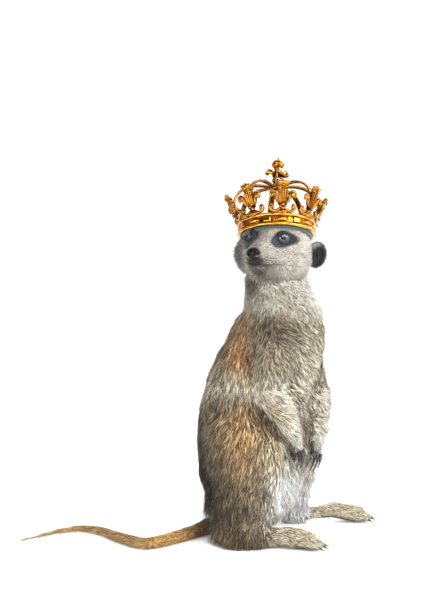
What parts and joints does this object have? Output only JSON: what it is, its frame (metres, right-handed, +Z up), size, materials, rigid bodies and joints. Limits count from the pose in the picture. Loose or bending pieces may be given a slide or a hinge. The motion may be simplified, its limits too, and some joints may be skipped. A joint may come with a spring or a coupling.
{
  "type": "meerkat wearing a crown",
  "caption": "Life-size meerkat standing upright on its hind feet, hands hanging before its belly, tail along the floor, wearing a gilt crown.",
  "frame": {"origin": "middle of the model's bounding box, on the floor that the feet and tail rest on", "axes": "+Z up, the model's longest extent; +X the way the body heads, with the tail trailing along -X; -Y the animal's right, towards which the head is turned, the shortest extent"},
  "size_m": [0.32, 0.1074, 0.3364],
  "materials": {
    "fur_body": "dense grizzled fur, matt",
    "fur_head": "short pale fur, matt",
    "fur_limb": "short fur, matt",
    "fur_tail": "short tan fur, matt",
    "ear_skin": "thin dark skin, satin",
    "nose_skin": "moist, half gloss",
    "eye_glass": "high gloss",
    "claw_horn": "polished horn",
    "gilt": "polished gilt",
    "lining_felt": "felt, matt"
  },
  "bodies": {
    "root": {"head": "fur_head", "eye_left": "eye_glass", "eye_right": "eye_glass", "nose": "nose_skin", "ear_left": "ear_skin", "ear_right": "ear_skin", "crown_band": "gilt", "crown_fleuron_1": "gilt", "crown_arch_1": "gilt", "crown_fleuron_2": "gilt", "crown_arch_2": "gilt", "crown_fleuron_3": "gilt", "crown_arch_3": "gilt", "crown_fleuron_4": "gilt", "crown_arch_4": "gilt", "crown_fleuron_5": "gilt", "crown_arch_5": "gilt", "crown_fleuron_6": "gilt", "crown_arch_6": "gilt", "crown_fleuron_7": "gilt", "crown_arch_7": "gilt", "crown_fleuron_8": "gilt", "crown_arch_8": "gilt", "crown_finial": "gilt", "crown_lining": "lining_felt", "belly": "fur_body", "chest": "fur_body", "neck": "fur_head", "thigh_right": "fur_body", "shank_right": "fur_body", "foot_right": "fur_limb", "claw_foot_right_1": "claw_horn", "claw_foot_right_2": "claw_horn", "claw_foot_right_3": "claw_horn", "claw_foot_right_4": "claw_horn", "thigh_left": "fur_body", "shank_left": "fur_body", "foot_left": "fur_limb", "claw_foot_left_1": "claw_horn", "claw_foot_left_2": "claw_horn", "claw_foot_left_3": "claw_horn", "claw_foot_left_4": "claw_horn", "upper_arm_right": "fur_body", "forearm_right": "fur_limb", "hand_right": "fur_limb", "claw_hand_right_1": "claw_horn", "claw_hand_right_2": "claw_horn", "claw_hand_right_3": "claw_horn", "claw_hand_right_4": "claw_horn", "upper_arm_left": "fur_body", "forearm_left": "fur_limb", "hand_left": "fur_limb", "claw_hand_left_1": "claw_horn", "claw_hand_left_2": "claw_horn", "claw_hand_left_3": "claw_horn", "claw_hand_left_4": "claw_horn", "tail_1": "fur_tail", "tail_2": "fur_tail", "tail_3": "fur_tail"}
  },
  "joints": []
}
